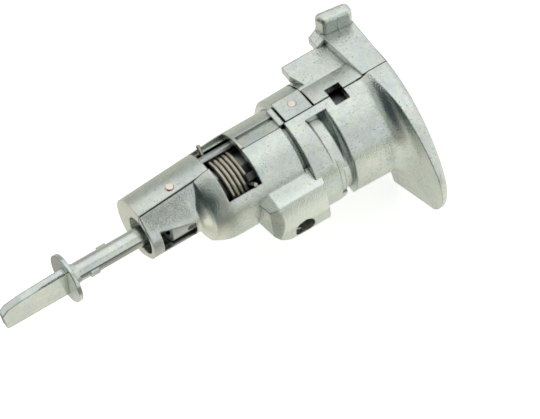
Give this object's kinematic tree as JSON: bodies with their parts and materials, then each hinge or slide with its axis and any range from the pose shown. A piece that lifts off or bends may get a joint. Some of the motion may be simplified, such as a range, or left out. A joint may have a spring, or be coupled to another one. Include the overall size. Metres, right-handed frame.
{
  "type": "car door lock cylinder",
  "caption": "Die-cast car door lock cylinder: winged flange, arm with lug, threaded boss, turning key plug and a collared flat-bladed tail rod.",
  "frame": {"origin": "centre of the plug cap's outer face, on the lock axis", "axes": "+Y along the lock axis into the door, towards the tail rod; +Z towards the spring window; +X towards the arm, so the flange's wing and the fixing boss lie at -X"},
  "size_m": [0.0484, 0.1135, 0.0445],
  "materials": {
    "zinc_casting": "bright satin zinc plating on a die casting, slightly iridescent",
    "plug_zinc": "plain zinc casting",
    "driver_zinc": "plain zinc casting",
    "cap_steel": "satin pressed steel",
    "plain_steel": "dull ground steel",
    "spring_steel": "oiled spring wire",
    "copper_pin": "copper-toned pin end",
    "wafer_brass": "stamped brass"
  },
  "bodies": {
    "housing": {"housing_main": "zinc_casting", "housing_arm": "zinc_casting", "housing_cover": "zinc_casting", "housing_pins": "copper_pin", "liner_sleeve": "plain_steel", "return_spring": "spring_steel"},
    "core": {"key_plug": "plug_zinc", "plug_cap": "cap_steel", "plug_clip": "spring_steel", "driver": "driver_zinc", "shutter_pin": "spring_steel", "wafer_spring_1": "spring_steel", "wafer_spring_2": "spring_steel", "wafer_spring_3": "spring_steel", "wafer_spring_4": "spring_steel", "wafer_spring_5": "spring_steel", "wafer_spring_6": "spring_steel", "wafer_spring_7": "spring_steel", "wafer_spring_8": "spring_steel"},
    "shutter": {"shutter": "cap_steel"},
    "cross_pin": {"rod_pin": "plain_steel"},
    "rod": {"tail_rod": "zinc_casting"},
    "wafer_1": {"wafer_1": "wafer_brass"},
    "wafer_2": {"wafer_2": "wafer_brass"},
    "wafer_3": {"wafer_3": "wafer_brass"},
    "wafer_4": {"wafer_4": "wafer_brass"},
    "wafer_5": {"wafer_5": "wafer_brass"},
    "wafer_6": {"wafer_6": "wafer_brass"},
    "wafer_7": {"wafer_7": "wafer_brass"},
    "wafer_8": {"wafer_8": "wafer_brass"}
  },
  "joints": [
    {"name": "key_turn", "type": "hinge", "parent": "housing", "child": "core", "pos_m": [0, 0.03, 0], "axis": [0, 1, 0], "range_deg": [-90, 90], "stiffness_Nm_per_rad": 0.05, "deforming": ["return_spring"]},
    {"name": "shutter_swing", "type": "hinge", "parent": "core", "child": "shutter", "pos_m": [0.0029, 0.00125, 0], "axis": [0, 0, -1], "range_deg": [0, 80], "stiffness_Nm_per_rad": 0.0001},
    {"name": "rod_lift", "type": "hinge", "parent": "core", "child": "cross_pin", "pos_m": [0, 0.0615, 0], "axis": [1, 0, 0], "range_deg": [-5, 5]},
    {"name": "rod_sway", "type": "hinge", "parent": "cross_pin", "child": "rod", "pos_m": [0, 0.0615, 0], "axis": [0, 0, 1], "range_deg": [-5, 5]},
    {"name": "wafer_1_slide", "type": "slide", "parent": "core", "child": "wafer_1", "axis": [0, 0, 1], "range_m": [0, 0.0008], "stiffness_N_per_m": 20, "springref_m": 0.0015, "deforming": ["wafer_spring_1"]},
    {"name": "wafer_2_slide", "type": "slide", "parent": "core", "child": "wafer_2", "axis": [0, 0, -1], "range_m": [0, 0.0008], "stiffness_N_per_m": 20, "springref_m": 0.0015, "deforming": ["wafer_spring_2"]},
    {"name": "wafer_3_slide", "type": "slide", "parent": "core", "child": "wafer_3", "axis": [0, 0, 1], "range_m": [0, 0.0008], "stiffness_N_per_m": 20, "springref_m": 0.0015, "deforming": ["wafer_spring_3"]},
    {"name": "wafer_4_slide", "type": "slide", "parent": "core", "child": "wafer_4", "axis": [0, 0, -1], "range_m": [0, 0.0008], "stiffness_N_per_m": 20, "springref_m": 0.0015, "deforming": ["wafer_spring_4"]},
    {"name": "wafer_5_slide", "type": "slide", "parent": "core", "child": "wafer_5", "axis": [0, 0, 1], "range_m": [0, 0.0008], "stiffness_N_per_m": 20, "springref_m": 0.0015, "deforming": ["wafer_spring_5"]},
    {"name": "wafer_6_slide", "type": "slide", "parent": "core", "child": "wafer_6", "axis": [0, 0, -1], "range_m": [0, 0.0008], "stiffness_N_per_m": 20, "springref_m": 0.0015, "deforming": ["wafer_spring_6"]},
    {"name": "wafer_7_slide", "type": "slide", "parent": "core", "child": "wafer_7", "axis": [0, 0, 1], "range_m": [0, 0.0008], "stiffness_N_per_m": 20, "springref_m": 0.0015, "deforming": ["wafer_spring_7"]},
    {"name": "wafer_8_slide", "type": "slide", "parent": "core", "child": "wafer_8", "axis": [0, 0, -1], "range_m": [0, 0.0008], "stiffness_N_per_m": 20, "springref_m": 0.0015, "deforming": ["wafer_spring_8"]}
  ]
}
